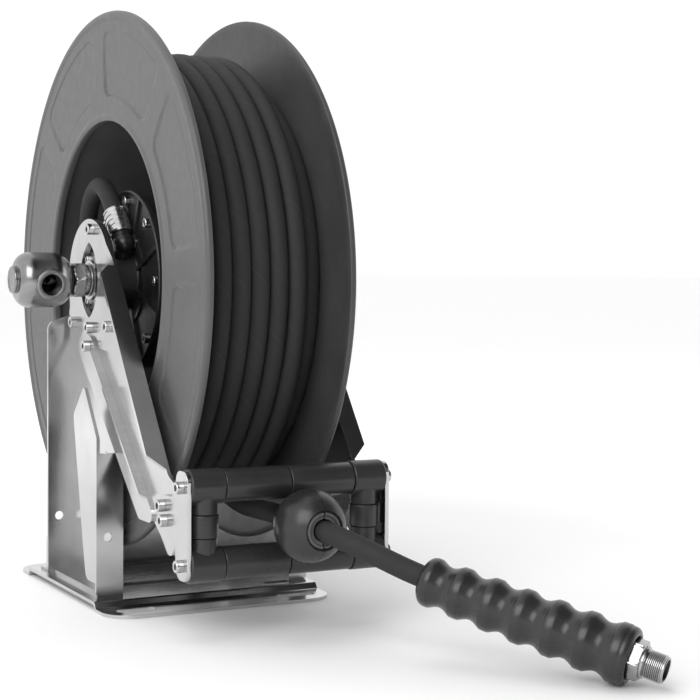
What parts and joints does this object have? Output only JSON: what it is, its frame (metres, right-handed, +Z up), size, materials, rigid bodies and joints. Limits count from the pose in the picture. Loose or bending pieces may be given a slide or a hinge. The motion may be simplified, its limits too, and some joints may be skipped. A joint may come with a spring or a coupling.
{
  "type": "spring rewind hose reel",
  "caption": "Open spring-rewind hose reel on a folded steel pedestal, with a roller guide, swivel inlet, ball stop and ribbed hand grip on the hose.",
  "frame": {"origin": "on the ground, at the centre of the base's four mounting slots", "axes": "+Z up; +X along the drum's axis, away from the swivel; the hose leaves towards -Y"},
  "size_m": [0.3235, 0.764, 0.522],
  "materials": {
    "galvanised": "bright zinc-plated sheet",
    "screw_steel": "zinc-plated socket screws",
    "turned_steel": "turned steel",
    "dark_steel": "dark steel",
    "disc_grey": "satin grey",
    "barrel_grey": "satin light grey",
    "black_moulding": "fine-grained black",
    "roller_plastic": "satin dark grey",
    "hose_rubber": "matt wrapped rubber",
    "grip_rubber": "satin moulded rubber",
    "bush_bronze": "bearing bronze",
    "spring_steel": "blued strip",
    "seal_rubber": "black"
  },
  "bodies": {
    "frame": {"base_plate": "galvanised", "rear_tie_panel": "galvanised", "deck_cross_plate": "galvanised", "left_post": "galvanised", "right_post": "galvanised", "left_arm": "galvanised", "right_arm": "galvanised", "left_arm_brace": "galvanised", "right_arm_brace": "galvanised", "left_end_plate": "galvanised", "right_end_plate": "galvanised", "left_top_corner": "roller_plastic", "left_bottom_corner": "roller_plastic", "right_top_corner": "roller_plastic", "right_bottom_corner": "roller_plastic", "top_roller_axle": "turned_steel", "bottom_roller_axle": "turned_steel", "side_roller_pins": "turned_steel", "left_bearing_housing": "galvanised", "left_bearing_bush": "bush_bronze", "arbor_flange": "galvanised", "spring_arbor": "turned_steel", "head_screws": "screw_steel", "bearing_screws": "screw_steel", "guide_screws": "screw_steel", "pawl_pin": "turned_steel", "hose_free": "hose_rubber", "stop_insert": "grip_rubber", "ball_stop_left": "grip_rubber", "ball_stop_right": "grip_rubber", "hose_grip": "grip_rubber", "end_fitting": "turned_steel"},
    "drum": {"left_disc": "disc_grey", "right_disc": "disc_grey", "drum_barrel": "barrel_grey", "hub_web": "dark_steel", "hub_bush": "bush_bronze", "spring_housing": "black_moulding", "spring_cover": "black_moulding", "cover_screws": "screw_steel", "power_spring": "spring_steel", "drum_shaft": "turned_steel", "swivel_nut": "screw_steel", "hub_elbow": "black_moulding", "inner_ferrules": "screw_steel", "inner_hose": "hose_rubber", "wound_hose": "hose_rubber", "ratchet_wheel": "dark_steel"},
    "swivel": {"swivel_body": "turned_steel", "swivel_cap": "turned_steel", "swivel_seal": "seal_rubber"},
    "top_roller_left": {"top_roller_left": "roller_plastic"},
    "top_roller_right": {"top_roller_right": "roller_plastic"},
    "bottom_roller_left": {"bottom_roller_left": "roller_plastic"},
    "bottom_roller_right": {"bottom_roller_right": "roller_plastic"},
    "side_roller_left": {"side_roller_left": "roller_plastic"},
    "side_roller_right": {"side_roller_right": "roller_plastic"},
    "pawl": {"pawl": "dark_steel", "pawl_spring": "spring_steel"}
  },
  "joints": [
    {"name": "drum_spin", "type": "hinge", "parent": "frame", "child": "drum", "pos_m": [0, 0, 0.282], "axis": [1, 0, 0], "continuous": true},
    {"name": "swivel_turn", "type": "hinge", "parent": "frame", "child": "swivel", "pos_m": [-0.1215, 0, 0.282], "axis": [1, 0, 0], "continuous": true},
    {"name": "pawl_tilt", "type": "hinge", "parent": "frame", "child": "pawl", "pos_m": [0.07, 0, 0.2], "axis": [1, 0, 0], "range_deg": [-22, 22], "stiffness_Nm_per_rad": 0.05},
    {"name": "top_roller_left_spin", "type": "hinge", "parent": "frame", "child": "top_roller_left", "pos_m": [-0.02125, -0.229, 0.122], "axis": [1, 0, 0], "continuous": true},
    {"name": "top_roller_right_spin", "type": "hinge", "parent": "frame", "child": "top_roller_right", "pos_m": [0.03625, -0.229, 0.122], "axis": [1, 0, 0], "continuous": true},
    {"name": "bottom_roller_left_spin", "type": "hinge", "parent": "frame", "child": "bottom_roller_left", "pos_m": [-0.02125, -0.229, 0.06], "axis": [1, 0, 0], "continuous": true},
    {"name": "bottom_roller_right_spin", "type": "hinge", "parent": "frame", "child": "bottom_roller_right", "pos_m": [0.03625, -0.229, 0.06], "axis": [1, 0, 0], "continuous": true},
    {"name": "side_roller_left_spin", "type": "hinge", "parent": "frame", "child": "side_roller_left", "pos_m": [-0.0645, -0.229, 0.091], "axis": [0, 0, 1], "continuous": true},
    {"name": "side_roller_right_spin", "type": "hinge", "parent": "frame", "child": "side_roller_right", "pos_m": [0.0795, -0.229, 0.091], "axis": [0, 0, 1], "continuous": true}
  ]
}
